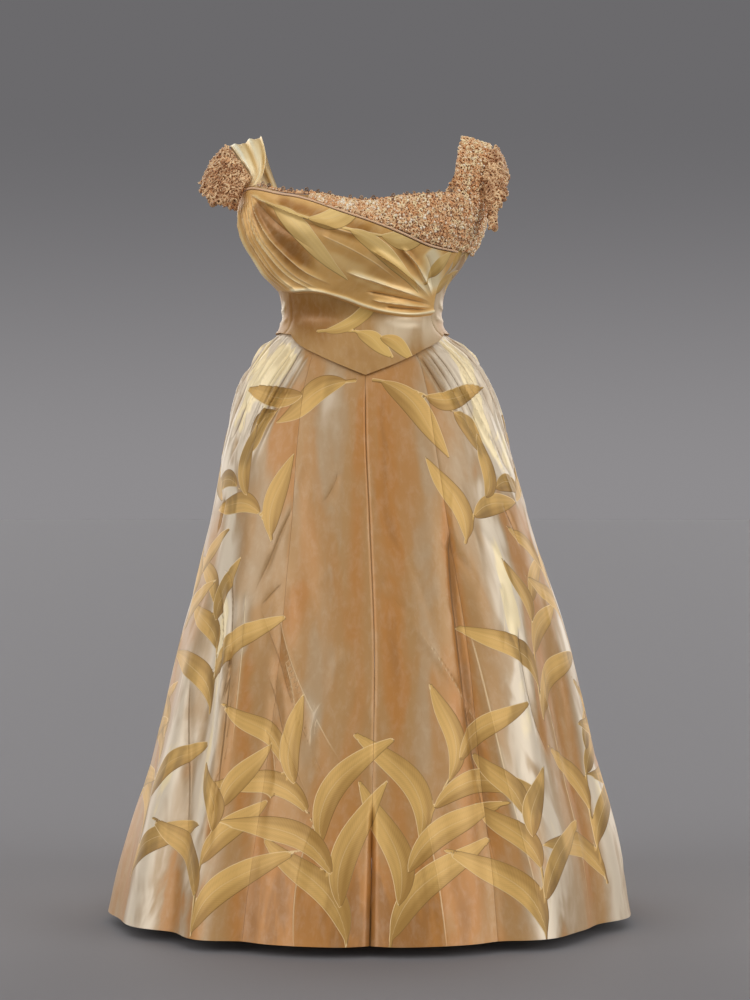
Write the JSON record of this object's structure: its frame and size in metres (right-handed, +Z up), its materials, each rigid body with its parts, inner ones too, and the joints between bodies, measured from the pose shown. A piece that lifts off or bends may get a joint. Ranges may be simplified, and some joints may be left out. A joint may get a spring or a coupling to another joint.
{
  "type": "ball gown",
  "caption": "Floor-length ball gown in its worn form: an off-the-shoulder draped bodice with a pointed basque, lace inset and sleeve ruffles, over a gored bell skirt.",
  "frame": {"origin": "the middle of the waist, level with the top of the skirt panels, where the waistband sits on the wearer", "axes": "+Z up the wearer's body, +X towards the wearer's left side, the gown's front faces -Y"},
  "size_m": [0.8477, 0.9292, 1.2683],
  "materials": {
    "satin": "heavy silk satin in champagne shot with amber, woven with large gold leaves, soft lustre",
    "drape_satin": "the same silk satin gathered in folds, with a golden lustre",
    "beaded_lace": "copper-rose lace set all over with small sequins and beads, glittering",
    "piping": "fine satin-covered cord in rose gold",
    "waistband": "plain matt cream silk band"
  },
  "bodies": {
    "root": {"skirt_front_left": "satin", "skirt_front_right": "satin", "skirt_side_front_left": "satin", "skirt_side_front_right": "satin", "skirt_side_back_left": "satin", "skirt_side_back_right": "satin", "skirt_back_left": "satin", "skirt_back_right": "satin", "skirt_waistband": "waistband", "bodice_front": "satin", "bodice_side_left": "satin", "bodice_side_right": "satin", "bodice_back_left": "satin", "bodice_back_right": "satin", "bodice_back_placket": "satin", "bodice_drape": "drape_satin", "drape_piping": "piping", "lace_inset": "beaded_lace", "neckline_edging": "beaded_lace", "strap_right": "drape_satin", "sleeve_ruffle_right": "beaded_lace", "strap_left": "beaded_lace", "sleeve_ruffle_left": "beaded_lace"}
  },
  "joints": []
}
